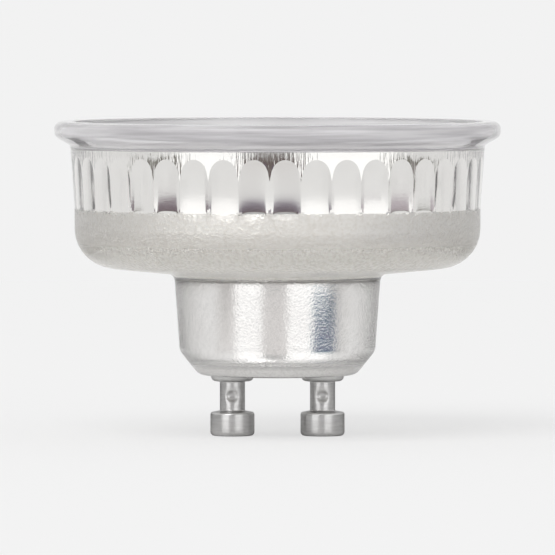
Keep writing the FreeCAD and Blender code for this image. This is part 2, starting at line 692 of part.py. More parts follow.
# Nothing is written unless every object computed and every piece is a sound solid.
for item in doc.Objects:
    if "Invalid" in item.State or "Error" in item.State:
        raise RuntimeError("%s did not compute: %s" % (item.Label, item.State))
    if item.isDerivedFrom("Sketcher::SketchObject") and not item.FullyConstrained:
        raise RuntimeError("%s is not fully constrained" % item.Label)
for item in pieces:
    if item.Shape.isNull() or not item.Shape.isValid() or not item.Shape.Solids:
        raise RuntimeError("%s is not a sound solid" % item.Label)

os.makedirs("parts", exist_ok=True)
for item in pieces:
    item.Shape.exportStep("parts/%s.step" % item.Label)
    print(item.Label, len(item.Shape.Solids), round(item.Shape.Volume, 2))
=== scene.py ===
import bpy
import json
import math
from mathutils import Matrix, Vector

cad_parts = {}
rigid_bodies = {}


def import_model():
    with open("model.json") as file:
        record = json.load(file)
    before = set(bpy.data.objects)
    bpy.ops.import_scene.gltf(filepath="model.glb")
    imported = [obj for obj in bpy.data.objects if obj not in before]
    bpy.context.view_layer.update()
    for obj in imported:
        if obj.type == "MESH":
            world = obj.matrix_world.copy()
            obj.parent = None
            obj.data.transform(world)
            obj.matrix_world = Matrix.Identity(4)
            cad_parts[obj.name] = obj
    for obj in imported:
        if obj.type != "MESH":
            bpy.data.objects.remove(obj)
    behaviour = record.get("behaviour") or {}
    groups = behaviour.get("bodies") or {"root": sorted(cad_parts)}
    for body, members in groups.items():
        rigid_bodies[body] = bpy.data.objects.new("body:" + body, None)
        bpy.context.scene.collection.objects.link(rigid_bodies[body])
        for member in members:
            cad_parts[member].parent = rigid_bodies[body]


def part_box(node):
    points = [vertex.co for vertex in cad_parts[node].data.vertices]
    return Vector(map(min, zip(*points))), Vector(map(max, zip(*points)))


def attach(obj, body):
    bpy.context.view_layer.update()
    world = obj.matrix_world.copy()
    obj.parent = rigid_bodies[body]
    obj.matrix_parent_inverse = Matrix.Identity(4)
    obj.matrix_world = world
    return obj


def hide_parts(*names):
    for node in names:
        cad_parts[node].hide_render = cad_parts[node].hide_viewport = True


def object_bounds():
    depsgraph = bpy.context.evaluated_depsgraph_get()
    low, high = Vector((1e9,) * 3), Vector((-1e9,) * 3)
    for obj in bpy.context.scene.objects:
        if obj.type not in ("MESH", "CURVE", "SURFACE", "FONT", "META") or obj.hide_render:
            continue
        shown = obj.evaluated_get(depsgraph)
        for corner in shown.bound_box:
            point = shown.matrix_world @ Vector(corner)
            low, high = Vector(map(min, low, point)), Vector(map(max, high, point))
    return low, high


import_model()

mm = 0.001
hair = 0.01 * mm  # places closer than this are one place
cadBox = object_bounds()
print("frame loaded")


def deselectAll():
    if bpy.context.mode != "OBJECT":
        bpy.ops.object.mode_set(mode="OBJECT")
    bpy.ops.object.select_all(action="DESELECT")


def pickOnly(piece):
    deselectAll()
    piece.select_set(True)
    bpy.context.view_layer.objects.active = piece


# corners are (radius, height, rounding, row spacing); a rounded corner becomes an arc
def roundedLine(corners, arcStep=math.radians(12)):
    line = []
    for i, (radius, height, rounding, _) in enumerate(corners):
        inner = [(radius, height)]
        if rounding > 0:
            before, after = corners[i - 1], corners[i + 1]
            backX, backZ = before[0] - radius, before[1] - height
            nextX, nextZ = after[0] - radius, after[1] - height
            backLength, nextLength = math.hypot(backX, backZ), math.hypot(nextX, nextZ)
            backX, backZ = backX / backLength, backZ / backLength
            nextX, nextZ = nextX / nextLength, nextZ / nextLength
            half = math.acos(backX * nextX + backZ * nextZ) / 2
            reach = rounding / math.tan(half)
            midX, midZ = backX + nextX, backZ + nextZ
            toCentre = rounding / math.sin(half) / math.hypot(midX, midZ)
            centreX, centreZ = radius + midX * toCentre, height + midZ * toCentre
            first = math.atan2(height + backZ * reach - centreZ, radius + backX * reach - centreX)
            last = math.atan2(height + nextZ * reach - centreZ, radius + nextX * reach - centreX)
            sweep = (last - first + math.pi) % (2 * math.pi) - math.pi
            count = max(3, round(abs(sweep) / arcStep))
            inner = [(centreX + rounding * math.cos(first + sweep * k / count),
                      centreZ + rounding * math.sin(first + sweep * k / count))
                     for k in range(count + 1)]
        if line:
            fromX, fromZ = line[-1]
            runX, runZ = inner[0][0] - fromX, inner[0][1] - fromZ
            rows = max(1, math.ceil(math.hypot(runX, runZ) / corners[i - 1][3] - 0.01))
            line += [(fromX + runX * k / rows, fromZ + runZ * k / rows) for k in range(1, rows)]
        line += inner
    return line


# a new object of one point, left in edit mode with the point selected
def startPoint(name, place):
    deselectAll()
    bpy.ops.mesh.primitive_plane_add(size=mm, location=(0, 0, 0))
    piece = bpy.context.object
    piece.name = name
    piece.data.name = name
    bpy.ops.object.mode_set(mode="EDIT")
    bpy.ops.mesh.merge(type="CENTER")
    bpy.ops.mesh.select_all(action="SELECT")
    bpy.ops.transform.translate(value=place)
    return piece


# draws the half section point by point and spins it about the upright axis
def spinProfile(name, line, steps):
    piece = startPoint(name, (line[0][0], 0, line[0][1]))
    for (x0, z0), (x1, z1) in zip(line, line[1:]):
        bpy.ops.mesh.extrude_region_move(TRANSFORM_OT_translate={"value": (x1 - x0, 0, z1 - z0)})
    bpy.ops.mesh.select_all(action="SELECT")
    bpy.ops.mesh.spin(steps=steps, angle=2 * math.pi, center=(0, 0, 0), axis=(0, 0, 1))
    bpy.ops.mesh.select_all(action="SELECT")
    bpy.ops.mesh.remove_doubles(threshold=0.002 * mm)
    bpy.ops.mesh.normals_make_consistent(inside=False)
    bpy.ops.object.mode_set(mode="OBJECT")
    return piece


def smooth(piece, degrees):
    pickOnly(piece)
    bpy.ops.object.shade_smooth_by_angle(angle=math.radians(degrees))


def dress(piece, node):
    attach(piece, "root")
    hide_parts(node)


def newMaterial(name):
    material = bpy.data.materials.new(name)
    material.use_nodes = True
    tree = material.node_tree
    return material, tree, tree.nodes["Principled BSDF"]


# noise on object coordinates, stretched along the axes
def addNoise(tree, scale, stretch=(1, 1, 1), detail=2.0):
    coords = tree.nodes.new("ShaderNodeTexCoord")
    mapping = tree.nodes.new("ShaderNodeMapping")
    mapping.inputs["Scale"].default_value = stretch
    noise = tree.nodes.new("ShaderNodeTexNoise")
    noise.inputs["Scale"].default_value = scale
    noise.inputs["Detail"].default_value = detail
    tree.links.new(coords.outputs["Object"], mapping.inputs["Vector"])
    tree.links.new(mapping.outputs["Vector"], noise.inputs["Vector"])
    return noise.outputs["Fac"]


def addBump(tree, shader, height, strength, depth):
    bump = tree.nodes.new("ShaderNodeBump")
    bump.inputs["Strength"].default_value = strength
    bump.inputs["Distance"].default_value = depth
    tree.links.new(height, bump.inputs["Height"])
    tree.links.new(bump.outputs["Normal"], shader.inputs["Normal"])
    return bump


# a value that changes evenly between two heights; low and high are (height, value)
def addByHeight(tree, low, high):
    coords = tree.nodes.new("ShaderNodeTexCoord")
    split = tree.nodes.new("ShaderNodeSeparateXYZ")
    spread = tree.nodes.new("ShaderNodeMapRange")
    spread.inputs["From Min"].default_value = low[0]
    spread.inputs["From Max"].default_value = high[0]
    spread.inputs["To Min"].default_value = low[1]
    spread.inputs["To Max"].default_value = high[1]
    tree.links.new(coords.outputs["Object"], split.inputs["Vector"])
    tree.links.new(split.outputs["Z"], spread.inputs["Value"])
    return spread.outputs["Result"]


# colour ramp from stops of (position, colour)
def addRamp(tree, factor, stops):
    ramp = tree.nodes.new("ShaderNodeValToRGB")
    while len(ramp.color_ramp.elements) < len(stops):
        ramp.color_ramp.elements.new(1.0)
    for element, (position, colour) in zip(ramp.color_ramp.elements, stops):
        element.position = position
        element.color = (*colour, 1)
    tree.links.new(factor, ramp.inputs["Fac"])
    return ramp.outputs["Color"]


# a finish of two close tones with a fine grain
def makeFinish(name, low, high, roughness, metallic=0.0,
               grain=900, stretch=(1, 1, 1), bump=0.1, depth=0.02 * mm):
    material, tree, shader = newMaterial(name)
    shader.inputs["Roughness"].default_value = roughness
    shader.inputs["Metallic"].default_value = metallic
    noise = addNoise(tree, grain, stretch)
    tree.links.new(addRamp(tree, noise, [(0.3, low), (0.7, high)]), shader.inputs["Base Color"])
    addBump(tree, shader, noise, bump, depth)
    return material


def newGlass(name, roughness, transmission=1.0):
    material, tree, shader = newMaterial(name)
    shader.inputs["Transmission Weight"].default_value = transmission
    shader.inputs["IOR"].default_value = 1.5
    shader.inputs["Roughness"].default_value = roughness
    return material, tree, shader


# glass body: clear rim and fluted wall, pebbled bowl, dimpled neck, mirror coat inside
glassBody = {
    "steps": 640,
    "baseRadius": 8.7 * mm, "footRadius": 10.85 * mm, "footBevel": 2.7 * mm, "footRound": 1.4 * mm,
    "neckRadius": 11.45 * mm, "neckFillet": 0.9 * mm,
    "floorWall": 2.25 * mm, "floorRise": 1.1 * mm,
    "bowlRadius": 22.5 * mm, "bowlCorner": 4.4 * mm,
    "frostHeight": 5.05 * mm, "wallTaper": 0.5 * mm, "shoulderFillet": 0.45 * mm,
    "rimBand": 1.65 * mm, "rimFlare": 1.0 * mm, "rimRound": 0.85 * mm,
    "sealantGap": 0.3 * mm, "glassWall": 1.3 * mm, "cavityCorner": 2.8 * mm, "seatEdge": 0.12 * mm,
    "baseWall": 1.7 * mm, "boardClearance": 0.2 * mm, "neckEdge": 0.6 * mm, "heelRound": 0.6 * mm,
    "fluteCount": 40, "fluteWidth": 1.58 * mm, "fluteDepth": 0.17 * mm, "flutePhase": math.radians(2.25),
    "fluteTopGap": 1.8 * mm, "fluteEnd": 0.2 * mm, "fluteFade": 2.2 * mm,
    "ridgeRise": 0.015 * mm, "domeLift": 0.06 * mm, "ringSag": 0.03 * mm, "leastSpare": 0.005 * mm,
    "pinHole": 1.65 * mm, "holeSides": 48,
    "zoneMargin": 0.2 * mm, "streakStart": 0.7, "streakSlack": 0.004 * mm,
    "fineRow": 0.3 * mm, "plainRow": 1.6 * mm, "wideRow": 5.0 * mm, "topRow": 0.45 * mm,
}


def makeClearGlass():
    material, tree, shader = newGlass("clearGlass", 0.01)
    shader.inputs["Base Color"].default_value = (0.82, 0.81, 0.79, 1)
    addBump(tree, shader, addNoise(tree, 300, (1, 1, 4)), 0.15, 0.05 * mm)
    return material


# partly milky glass with flat streaks, between two tones; the light streaks are partly streaky glass and
# partly painted highlight
def makeRimGlass(name, low, high):
    material, tree, shader = newGlass(name, 0.06, 0.6)
    streaks = addNoise(tree, 150, (0.5, 0.5, 14), detail=3.0)
    tree.links.new(addRamp(tree, streaks, [(0.36, low), (0.64, high)]), shader.inputs["Base Color"])
    addBump(tree, shader, streaks, 0.8, 0.04 * mm)
    return material


# coarse frosted glass, smoother and milkier towards the bowl's foot
def makePebbledGlass(footZ, wallZ):
    material, tree, shader = newGlass("pebbledGlass", 0.2)
    milk = addByHeight(tree, (footZ + 1.2 * mm, 0.3), (footZ + 5.0 * mm, 1.0))
    tree.links.new(milk, shader.inputs["Transmission Weight"])
    grain = addNoise(tree, 2900, detail=1.0)
    tones = [(0.35, (0.84, 0.81, 0.75)), (0.58, (0.955, 0.935, 0.89))]
    tree.links.new(addRamp(tree, grain, tones), shader.inputs["Base Color"])
    bump = addBump(tree, shader, grain, 1.0, 0.3 * mm)
    tree.links.new(addByHeight(tree, (footZ, 0.6), (wallZ, 1.0)), bump.inputs["Strength"])
    return material


# finer frosted glass, milky at the heel
def makeDimpledGlass(baseZ, footZ):
    material, tree, shader = newGlass("dimpledGlass", 0.2)
    milk = addByHeight(tree, (baseZ + 0.8 * mm, 0.35), (baseZ + 1.8 * mm, 1.0))
    tree.links.new(milk, shader.inputs["Transmission Weight"])
    grain = addNoise(tree, 4200, detail=1.0)
    tones = [(0.3, (0.78, 0.77, 0.755)), (0.55, (0.90, 0.89, 0.875))]
    tree.links.new(addRamp(tree, grain, tones), shader.inputs["Base Color"])
    bump = addBump(tree, shader, grain, 1.0, 0.12 * mm)
    tree.links.new(addByHeight(tree, (baseZ, 1.0), (footZ, 0.5)), bump.inputs["Strength"])
    return material


def makeMirrorCoat(name, roughness, streaks, depth):
    material, tree, shader = newMaterial(name)
    shader.inputs["Metallic"].default_value = 1
    shader.inputs["Roughness"].default_value = roughness
    tones = [(0.3, (0.97, 0.965, 0.965)), (0.7, (0.99, 0.99, 0.99))]
    tree.links.new(addRamp(tree, addNoise(tree, 260), tones), shader.inputs["Base Color"])
    addBump(tree, shader, addNoise(tree, streaks, (1, 1, 0.1)), 1.0, depth)
    return material


# heights and radii that follow from the frame and the sizes
def placeGlass(size):
    low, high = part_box("glass_body")
    coverLow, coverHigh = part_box("front_glass")
    pinLow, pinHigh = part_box("contact_pin_right")
    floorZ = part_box("spreader_adhesive")[0][2]
    return {
        "baseZ": low[2], "innerBase": low[2] + size["baseWall"],
        "bowlFoot": floorZ - size["floorWall"], "floorZ": floorZ, "frostZ": floorZ + size["frostHeight"],
        "archTop": coverLow[2] - size["fluteTopGap"], "seatZ": coverLow[2],
        "rimBase": high[2] - size["rimBand"], "rimTop": high[2], "rimRadius": high[0],
        "rebateRadius": coverHigh[0] + size["sealantGap"],
        "cavityRadius": size["bowlRadius"] - size["glassWall"],
        "neckBore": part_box("driver_board")[1][0] + size["boardClearance"],
        "pinX": (pinLow[0] + pinHigh[0]) / 2,
    }


def spinGlass(size, at):
    fine, plain, wide = size["fineRow"], size["plainRow"], size["wideRow"]
    shoulderRadius = size["bowlRadius"] + size["wallTaper"]
    flareFoot = at["rimBase"] - size["rimFlare"]
    line = roundedLine([
        (0, at["baseZ"], 0, wide),
        (size["baseRadius"], at["baseZ"], size["footRound"], plain),
        (size["footRadius"], at["baseZ"] + size["footBevel"], size["footRound"], plain),
        (size["neckRadius"], at["bowlFoot"], size["neckFillet"], plain),
        (size["bowlRadius"], at["bowlFoot"] + size["floorRise"], size["bowlCorner"], plain),
        (size["bowlRadius"], at["frostZ"], 0, plain),
        (shoulderRadius, flareFoot, size["shoulderFillet"], plain),
        (at["rimRadius"], at["rimBase"], size["rimRound"], plain),
        (at["rimRadius"], at["rimTop"], size["rimRound"], plain),
        (at["rebateRadius"], at["rimTop"], size["seatEdge"], plain),
        (at["rebateRadius"], at["seatZ"], 0, plain),
        (at["cavityRadius"], at["seatZ"], 0, size["topRow"]),
        (at["cavityRadius"], at["archTop"], 0, fine),
        (at["cavityRadius"], at["frostZ"], 0, plain),
        (at["cavityRadius"], at["frostZ"] - size["fluteEnd"], 0, plain),
        (at["cavityRadius"], at["frostZ"] - size["fluteFade"], 0, plain),
        (at["cavityRadius"], at["floorZ"], size["cavityCorner"], plain),
        (at["neckBore"], at["floorZ"], size["neckEdge"], plain),
        (at["neckBore"], at["innerBase"], size["heelRound"], wide),
        (0, at["innerBase"], 0, plain),
    ])
    return spinProfile("glassBody", line, size["steps"])


# flutes with low ridges between: one row of points follows the arches, the rest is drawn in
def pressFlutes(body, size, at):
    frostZ, archTop, seatZ, cavityRadius = at["frostZ"], at["archTop"], at["seatZ"], at["cavityRadius"]
    pitch = 2 * math.pi / size["fluteCount"]
    rise = archTop - frostZ
    archRow, frostRow = set(), set()
    for vertex in body.data.vertices:
        x, y, z = vertex.co
        radius = math.hypot(x, y)
        if abs(z - frostZ) < hair and radius > size["bowlRadius"] - hair:
            frostRow.add(vertex.index)
        if z < frostZ - size["fluteFade"] or z > seatZ or abs(radius - cavityRadius) > hair:
            continue
        angle = math.atan2(y, x) + math.pi / 2 - size["flutePhase"]
        turn = (angle + pitch / 2) % pitch - pitch / 2
        across = abs(cavityRadius * turn)
        sag = across ** 2 / (2 * cavityRadius) + size["ridgeRise"] * (across / size["fluteWidth"]) ** 10
        lift = size["domeLift"] * (across / size["fluteWidth"]) ** 4
        bend = size["fluteDepth"] - lift
        spare = max(size["leastSpare"], size["fluteDepth"] - sag)
        edge = frostZ + rise * (math.sqrt(lift ** 2 + 4 * bend * spare) - lift) / (2 * bend)
        if abs(z - archTop) < hair:
            archRow.add(vertex.index)
        if z > archTop:
            z = edge + (z - archTop) / (seatZ - archTop) * (seatZ - edge)
            depth = 0
        elif z > frostZ:
            z = frostZ + (z - frostZ) / rise * (edge - frostZ)
            share = (z - frostZ) / rise
            depth = size["fluteDepth"] * (1 - share ** 2) - lift * share * (1 - share)
        else:
            depth = size["fluteDepth"] * (1 - (frostZ - z) / size["fluteFade"])
            sag = sag if z > frostZ - hair else size["ringSag"]  # round again below the frost line
        newRadius = cavityRadius - max(0, depth - sag)
        vertex.co = (x * newRadius / radius, y * newRadius / radius, z)
    for side in body.data.edges:
        if archRow.issuperset(side.vertices) or frostRow.issuperset(side.vertices):
            side.use_edge_sharp = True
    body.data.update()


def drillPinHoles(body, size, at):
    for x in (-at["pinX"], at["pinX"]):
        deselectAll()
        bpy.ops.mesh.primitive_cylinder_add(
            vertices=size["holeSides"], radius=size["pinHole"], depth=3 * size["baseWall"],
            location=(x, 0, at["baseZ"] + size["baseWall"] / 2))
        drill = bpy.context.object
        pickOnly(body)
        cut = body.modifiers.new("pinHole", "BOOLEAN")
        cut.operation = "DIFFERENCE"
        cut.solver = "EXACT"
        cut.object = drill
        bpy.ops.object.modifier_apply(modifier=cut.name)
        bpy.data.objects.remove(drill, do_unlink=True)


# which glass or coat a face has, from its place and the way it looks
def zoneOf(face, size, at):
    x, y, z = face.center
    radius = max(math.hypot(x, y), hair)
    outward = (face.normal.x * x + face.normal.y * y) / radius
    looksIn, looksUp, looksDown = outward < -0.3, face.normal.z > 0.3, face.normal.z < -0.9
    if at["innerBase"] - hair < z < at["seatZ"] - hair and (looksIn or looksUp):
        if at["floorZ"] < z < at["frostZ"]:
            return "satin"
        streakZ = at["frostZ"] + size["streakStart"] * (at["archTop"] - at["frostZ"])
        onWall = radius > at["cavityRadius"] - size["streakSlack"]
        return "streaked" if onWall and z > streakZ else "mirror"
    if math.hypot(abs(x) - at["pinX"], y) < size["pinHole"] and abs(face.normal.z) < 0.5:
        return "mirror"
    if z > at["rimBase"] - size["rimFlare"] - size["shoulderFillet"]:
        return "rebate" if looksIn else "rim"
    if looksDown and z < at["baseZ"] + size["zoneMargin"]:
        return "clear"
    if z < at["bowlFoot"] - size["zoneMargin"]:
        return "dimpled"
    return "pebbled" if z < at["frostZ"] else "clear"


def buildGlassBody(size):
    at = placeGlass(size)
    body = spinGlass(size, at)
    pressFlutes(body, size, at)
    drillPinHoles(body, size, at)
    zones = {
        "clear": makeClearGlass(),
        "pebbled": makePebbledGlass(at["bowlFoot"], at["bowlFoot"] + size["bowlCorner"]),
        "dimpled": makeDimpledGlass(at["baseZ"], at["baseZ"] + size["footBevel"]),
        "mirror": makeMirrorCoat("mirrorCoat", 0.075, 3000, 0.001 * mm),
        "streaked": makeMirrorCoat("streakedCoat", 0.06, 3800, 0.03 * mm),
        "rim": makeRimGlass("rimGlass", (0.64, 0.625, 0.64), (0.90, 0.89, 0.90)),
        "satin": makeMirrorCoat("satinCoat", 0.42, 3000, 0.003 * mm),
        "rebate": makeRimGlass("rebateGlass", (0.94, 0.93, 0.945), (1.0, 0.995, 1.0)),
    }
    for material in zones.values():
        body.data.materials.append(material)
    order = list(zones)
    for face in body.data.polygons:
        face.material_index = order.index(zoneOf(face, size, at))
    smooth(body, 20)
    dress(body, "glass_body")
    print("glass body:", len(body.data.polygons), "faces")


# front cover, a hair clear of its seat
frontGlass = {"edge": 0.25 * mm, "lift": 0.02 * mm, "steps": 256, "row": mm, "wideRow": 8 * mm}


def buildFrontGlass(size):
    low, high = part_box("front_glass")
    foot = low[2] + size["lift"]
    line = roundedLine([
        (0, foot, 0, size["wideRow"]),
        (high[0], foot, size["edge"], size["row"]),
        (high[0], high[2], size["edge"], size["wideRow"]),
        (0, high[2], 0, size["row"]),
    ])
    cover = spinProfile("frontGlass", line, size["steps"])
    material, tree, shader = newGlass("coverGlass", 0.0)
    shader.inputs["Base Color"].default_value = (0.99, 0.99, 0.99, 1)
    addBump(tree, shader, addNoise(tree, 120), 0.05, 0.02 * mm)
    cover.data.materials.append(material)
    smooth(cover, 30)
    dress(cover, "front_glass")
    print("front glass done")


# bead of clear sealant round the cover; its bright streaks are painted highlight mixed with streaky tone
sealantBead = {"slack": 0.03 * mm, "edge": 0.1 * mm, "steps": 256, "row": mm, "fineRow": 0.3 * mm}


def buildSealant(size):
    low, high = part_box("cover_sealant")
    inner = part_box("front_glass")[1][0] + size["slack"]
    outer = high[0] - size["slack"]
    bottom = low[2] + size["slack"]
    line = roundedLine([
        (inner, bottom, 0, size["row"]),
        (outer, bottom, 0, size["fineRow"]),
        (outer, high[2], size["edge"], size["row"]),
        (inner, high[2], 0, size["fineRow"]),
        (inner, bottom, 0, size["row"]),
    ])
    bead = spinProfile("sealantBead", line, size["steps"])
    material, tree, shader = newMaterial("clearSealant")
    shader.inputs["Roughness"].default_value = 0.3
    shader.inputs["Transmission Weight"].default_value = 0.2
    streaks = addNoise(tree, 160, (1, 1, 14), detail=4.0)
    tones = [(0.3, (0.8, 0.79, 0.81)), (0.7, (1.0, 0.99, 1.0))]
    tree.links.new(addRamp(tree, streaks, tones), shader.inputs["Base Color"])
    addBump(tree, shader, streaks, 0.3, 0.05 * mm)
    bead.data.materials.append(material)
    smooth(bead, 30)
    dress(bead, "cover_sealant")
    print("sealant done")


# contact pins: headed, crimped, with a rolled collar under the glass
contactPin = {
    "headHeight": 2.8 * mm, "headSlope": 0.2 * mm, "headEdge": 0.3 * mm, "footEdge": 0.45 * mm,
    "headFillet": 0.12 * mm, "shankRadius": 1.4 * mm, "shankLength": 3.25 * mm,
    "collarRadius": 2.4 * mm, "collarDraft": 0.1 * mm, "collarHeight": 0.7 * mm, "collarRound": 0.55 * mm,
    "stemRadius": 1.6 * mm, "flareRadius": 2.2 * mm, "flareThickness": 0.35 * mm,
    "boreRadius": 0.6 * mm, "boreFloor": 2.6 * mm,
    "dishRadius": 1.15 * mm, "dishDepth": 0.11 * mm, "pitRadius": 0.68 * mm, "pitDepth": 0.26 * mm,
    "steps": 96, "fineRow": 0.11 * mm, "edgeRow": 0.3 * mm, "sideRow": 0.6 * mm, "row": mm, "boreRow": 2 * mm,
}


# brushed round the pin, so its highlights run up and down
def makeNickel():
    material = makeFinish("satinNickel", (0.54, 0.535, 0.53), (0.64, 0.635, 0.63), 0.28, 1.0,
                          grain=2600, stretch=(0.25, 0.25, 1.6), bump=0.15, depth=0.01 * mm)
    shader = material.node_tree.nodes["Principled BSDF"]
    shader.inputs["Specular Tint"].default_value = (0.5, 0.5, 0.5, 1)
    shader.inputs["Anisotropic"].default_value = 0.75
    shader.inputs["Anisotropic Rotation"].default_value = 0.25
    return material


def buildPin(node, name, metal, size):
    low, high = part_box(node)
    headRadius = (high[0] - low[0]) / 2
    collarFoot = size["headHeight"] + size["shankLength"]
    baseFace = collarFoot + size["collarHeight"]
    flareFoot = high[2] - size["flareThickness"]
    fine, row = size["fineRow"], size["row"]
    line = roundedLine([
        (0, 0, 0, row),
        (headRadius, 0, size["footEdge"], size["sideRow"]),
        (headRadius, size["headHeight"] - size["headSlope"], size["headEdge"], size["edgeRow"]),
        (size["shankRadius"], size["headHeight"], size["headFillet"], fine),
        (size["shankRadius"], collarFoot, size["headFillet"], fine),
        (size["collarRadius"] - size["collarDraft"], collarFoot, size["collarRound"], fine),
        (size["collarRadius"], baseFace, 0, fine),
        (size["stemRadius"], baseFace, 0, row),
        (size["stemRadius"], flareFoot, 0, row),
        (size["flareRadius"], flareFoot, 0, row),
        (size["flareRadius"], high[2], 0, row),
        (size["boreRadius"], high[2], 0, size["boreRow"]),
        (size["boreRadius"], size["boreFloor"], 0, row),
        (0, size["boreFloor"], 0, row),
    ])
    pin = spinProfile(name, line, size["steps"])

    # the crimp, pressed in on the side that faces forward
    crimpZ = size["headHeight"] + size["shankLength"] / 2
    for vertex in pin.data.vertices:
        x, y, z = vertex.co
        away = math.hypot(x, z - crimpZ)
        if y > 0 or math.hypot(x, y) < size["shankRadius"] - hair or away > size["dishRadius"]:
            continue
        vertex.co.y += size["dishDepth"] * (1 - (away / size["dishRadius"]) ** 2) ** 2
        vertex.co.y += size["pitDepth"] * max(0, 1 - (away / size["pitRadius"]) ** 4) ** 2
    pin.data.update()
    pickOnly(pin)
    bpy.ops.object.mode_set(mode="EDIT")
    bpy.ops.mesh.select_all(action="SELECT")
    bpy.ops.transform.translate(value=((low[0] + high[0]) / 2, (low[1] + high[1]) / 2, low[2]))
    bpy.ops.object.mode_set(mode="OBJECT")
    pin.data.materials.append(metal)
    smooth(pin, 35)
    dress(pin, node)
    print("pin done:", name)


# finishes of the pieces behind the mirror coat, seen only through the front
innerFinishes = {
    "washerSteel": makeFinish("washerSteel", (0.55, 0.55, 0.56), (0.68, 0.68, 0.69), 0.32, 1.0),
    "turnedAluminium": makeFinish("turnedAluminium", (0.66, 0.66, 0.67), (0.76, 0.76, 0.77), 0.34, 1.0,
                                  grain=1500),
    "greySilicone": makeFinish("greySilicone", (0.42, 0.42, 0.43), (0.5, 0.5, 0.51), 0.6),
    "paleSilicone": makeFinish("paleSilicone", (0.5, 0.54, 0.6), (0.58, 0.62, 0.67), 0.7),
    "whiteMask": makeFinish("whiteMask", (0.78, 0.78, 0.77), (0.83, 0.83, 0.82), 0.4, grain=500),
    "whiteResin": makeFinish("whiteResin", (0.76, 0.76, 0.74), (0.84, 0.84, 0.82), 0.45),
    "yellowPhosphor": makeFinish("yellowPhosphor", (0.78, 0.55, 0.08), (0.86, 0.64, 0.13), 0.5, grain=1400),
    "brightSteel": makeFinish("brightSteel", (0.52, 0.52, 0.53), (0.64, 0.64, 0.65), 0.28, 1.0),
    "tinSolder": makeFinish("tinSolder", (0.62, 0.62, 0.63), (0.74, 0.74, 0.75), 0.26, 1.0),
    "greenMask": makeFinish("greenMask", (0.03, 0.16, 0.07), (0.05, 0.22, 0.1), 0.4, grain=600),
    "darkSleeve": makeFinish("darkSleeve", (0.02, 0.025, 0.04), (0.04, 0.05, 0.07), 0.35),
    "greyFerrite": makeFinish("greyFerrite", (0.07, 0.07, 0.075), (0.11, 0.11, 0.115), 0.65,
                              grain=2500, bump=0.3),
    "enamelCopper": makeFinish("enamelCopper", (0.50, 0.20, 0.07), (0.62, 0.28, 0.11), 0.3, 1.0,
                               grain=1500, stretch=(0.2, 0.2, 3), bump=0.4),
    "blackMould": makeFinish("blackMould", (0.02, 0.02, 0.02), (0.035, 0.035, 0.035), 0.55, grain=2500),
    "blueLacquer": makeFinish("blueLacquer", (0.10, 0.22, 0.36), (0.14, 0.28, 0.43), 0.4),
    "tinnedWire": makeFinish("tinnedWire", (0.6, 0.58, 0.55), (0.7, 0.68, 0.65), 0.3, 1.0),
    "redSleeve": makeFinish("redSleeve", (0.45, 0.03, 0.03), (0.54, 0.05, 0.04), 0.45),
    "blackSleeve": makeFinish("blackSleeve", (0.02, 0.02, 0.022), (0.04, 0.04, 0.042), 0.45),
}
innerPieces = {
    "pin_washer_left": "washerSteel", "pin_washer_right": "washerSteel",
    "heat_spreader": "turnedAluminium", "spreader_adhesive": "greySilicone", "thermal_pad": "paleSilicone",
    "led_board": "whiteMask", "led_dam_ring": "whiteResin", "led_phosphor": "yellowPhosphor",
    "board_screws": "brightSteel", "led_solder_joints": "tinSolder", "driver_solder_joints": "tinSolder",
    "driver_board": "greenMask", "bulk_capacitor": "darkSleeve", "choke_core": "greyFerrite",
    "choke_winding": "enamelCopper", "bridge_rectifier": "blackMould", "driver_chip": "blackMould",
    "fuse_resistor": "blueLacquer", "input_lead_left": "tinnedWire", "input_lead_right": "tinnedWire",
    "led_lead_positive": "redSleeve", "led_lead_negative": "blackSleeve",
}


def finishInside():
    for node, finish in innerPieces.items():
        mesh = bpy.data.objects[node].data
        if not mesh.materials:
            mesh.materials.append(None)
        for index in range(len(mesh.materials)):
            mesh.materials[index] = innerFinishes[finish]
    print("inner finishes done")


# stage: pale round table, pale room, soft boxes either side of the lens and dark cards between
stage = {
    "paper": (0.888, 0.888, 0.888), "tableRadius": 0.45, "tableSides": 96,
    "glowShare": 0.65, "shadeRadius": 0.03,
    "ambient": 0.7, "keyStrength": 1.2, "keyWidth": 40, "keyTilt": (38, -20),
    "cardStep": 4,
}
cardTones = {
    "white": (1.3, 1.3, 1.3), "grey": (0.5, 0.5, 0.5), "pearl": (0.76, 0.74, 0.735),
    "purple": (0.07, 0.03, 0.10), "brown": (0.10, 0.065, 0.055), "olive": (0.12, 0.11, 0.08),
    "plum": (0.10, 0.045, 0.08), "mauve": (0.5, 0.43, 0.48),
    "violet": (0.08, 0.05, 0.17), "teal": (0.04, 0.14, 0.21),
    "shade": (0.01, 0.01, 0.01), "gleam": (2.1, 2.1, 2.1),
}
# cards: degrees off the lens from and to, foot, top, distance, and one tone or (height, tone) stops
farCards = {
    "lensCard": (-20, 12, 0.027, 0.3, 0.75,
                 [(0.035, "purple"), (0.055, "brown"), (0.08, "brown"), (0.1, "grey")]),
    "leftBox": (-60, -20, 0.027, 0.4, 0.75, "white"),
    "rightBox": (12, 70, 0.027, 0.4, 0.75, "white"),
    "leftLow": (-77, -60, 0.032, 0.062, 0.75, "plum"),
    "leftHigh": (-85, -60, 0.062, 0.095, 0.75, "olive"),
    "rightLow": (70, 88, 0.034, 0.062, 0.75, "mauve"),
    "rightHigh": (70, 100, 0.062, 0.095, 0.75, "olive"),
    "lowFlag": (55, 70, 0.027, 0.031, 0.74, "plum"),
}
# low cards close by that only the neck's mirror shows
neckCards = {
    "tintCard": (46, 78, 0.0005, 0.019, 0.085, [(0.0095, "violet"), (0.0135, "teal")]),
    "pearlCard": (-20, 12, 0.0005, 0.024, 0.085, "pearl"),
    "sideCard": (-82, -56, 0.0005, 0.019, 0.085, "pearl"),
}
